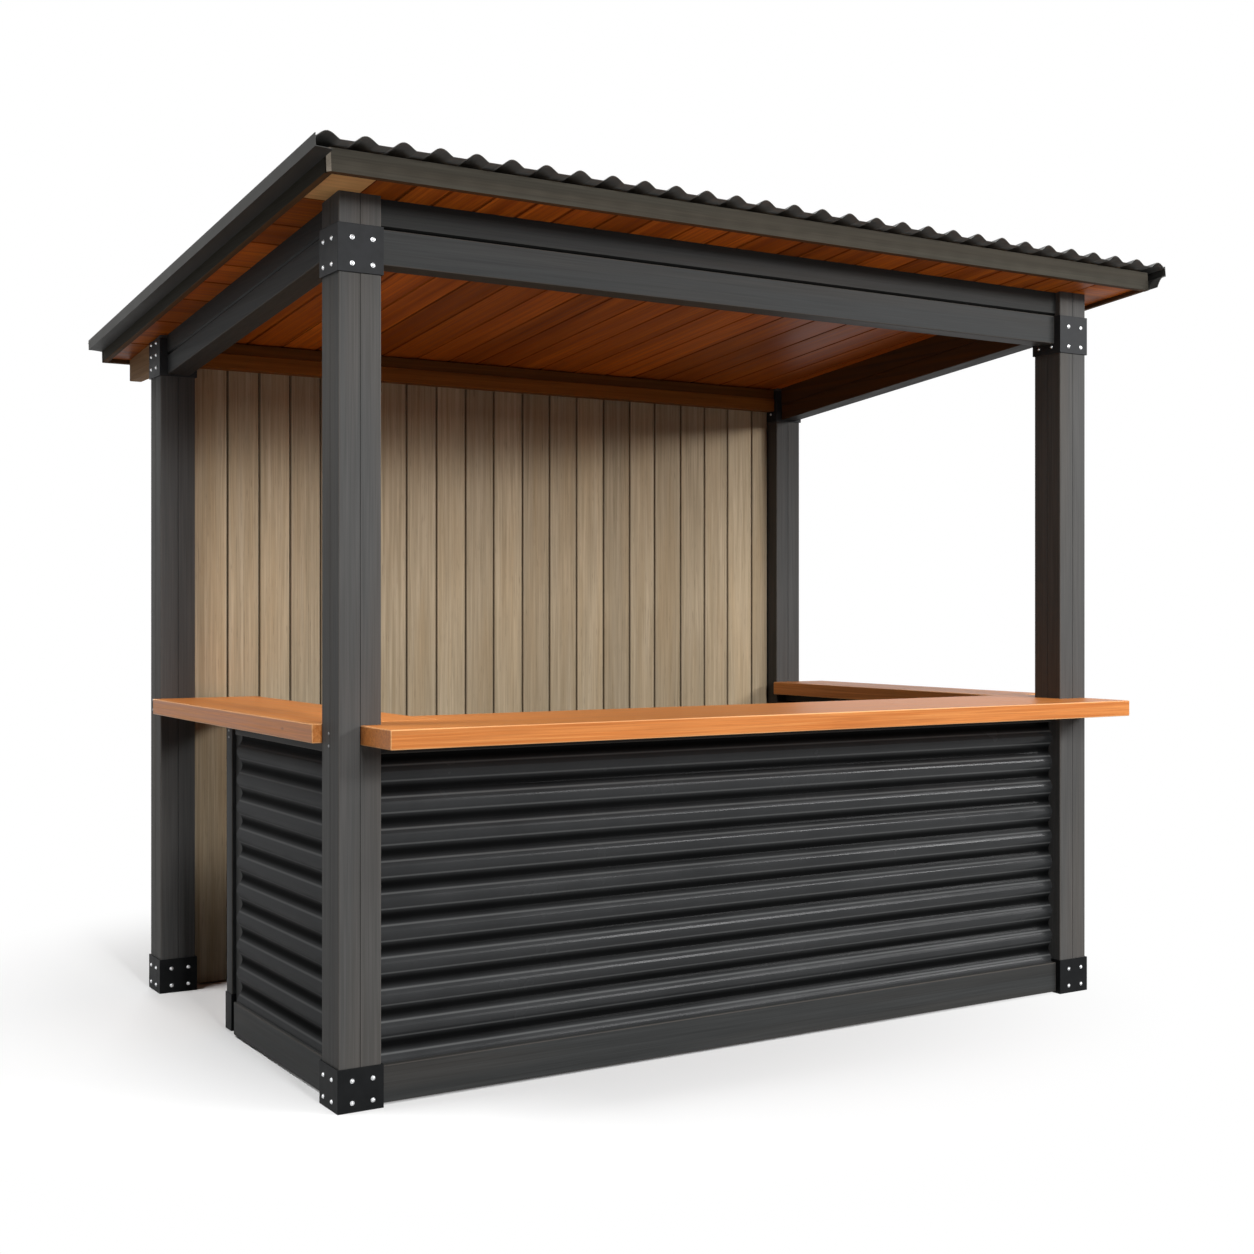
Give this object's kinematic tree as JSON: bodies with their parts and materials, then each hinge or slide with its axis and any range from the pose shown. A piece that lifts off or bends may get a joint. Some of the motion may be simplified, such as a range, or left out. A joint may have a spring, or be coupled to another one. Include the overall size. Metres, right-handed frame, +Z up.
{
  "type": "garden bar",
  "caption": "Open garden bar with dark timber posts, a single-slope corrugated roof lined in timber, a counter round three sides over corrugated cladding, and a boarded back wall.",
  "frame": {"origin": "on the ground, under the middle of the whole part's box", "axes": "+X to the right as seen from the front, +Y from the front counter to the back wall, +Z up"},
  "size_m": [3.186, 2.353, 2.5984],
  "materials": {
    "stained_timber": "charcoal stain, satin",
    "stained_beams": "charcoal stain, satin",
    "black_steel": "black powder coat",
    "sheet_metal": "charcoal coated sheet, satin",
    "edge_boards": "warm grey paint, satin",
    "edge_trim": "warm grey coated sheet",
    "oiled_timber": "oiled, satin",
    "lining_timber": "oiled, satin",
    "pale_timber": "bare, matt",
    "wall_boards": "taupe stain, matt",
    "raw_timber": "bare, matt"
  },
  "bodies": {
    "root": {"front_left_post": "stained_timber", "front_right_post": "stained_timber", "back_left_post": "stained_timber", "back_right_post": "stained_timber", "front_plinth": "stained_timber", "left_plinth": "stained_timber", "right_plinth": "stained_timber", "front_rail": "stained_timber", "left_rail": "stained_timber", "right_rail": "stained_timber", "left_jamb": "stained_timber", "left_stud": "stained_timber", "front_beam": "stained_beams", "front_top_plate": "stained_beams", "left_beam": "stained_beams", "left_top_plate": "stained_beams", "right_beam": "stained_beams", "right_top_plate": "stained_beams", "back_beam": "stained_beams", "back_rails": "stained_beams", "post_collars": "black_steel", "post_feet": "black_steel", "jamb_foot": "black_steel", "front_cladding": "sheet_metal", "left_cladding": "sheet_metal", "right_cladding": "sheet_metal", "roof_sheet": "sheet_metal", "front_fascia": "edge_boards", "back_fascia": "edge_boards", "left_barge_board": "edge_boards", "right_barge_board": "edge_boards", "left_flashing": "edge_trim", "right_flashing": "edge_trim", "front_counter": "oiled_timber", "left_counter": "oiled_timber", "right_counter": "oiled_timber", "ceiling": "lining_timber", "left_soffit": "lining_timber", "right_soffit": "lining_timber", "wall_rail": "lining_timber", "corner_panels": "pale_timber", "back_wall": "wall_boards", "rafter_tails": "raw_timber", "purlins": "raw_timber", "front_studs": "raw_timber", "right_studs": "raw_timber"}
  },
  "joints": []
}
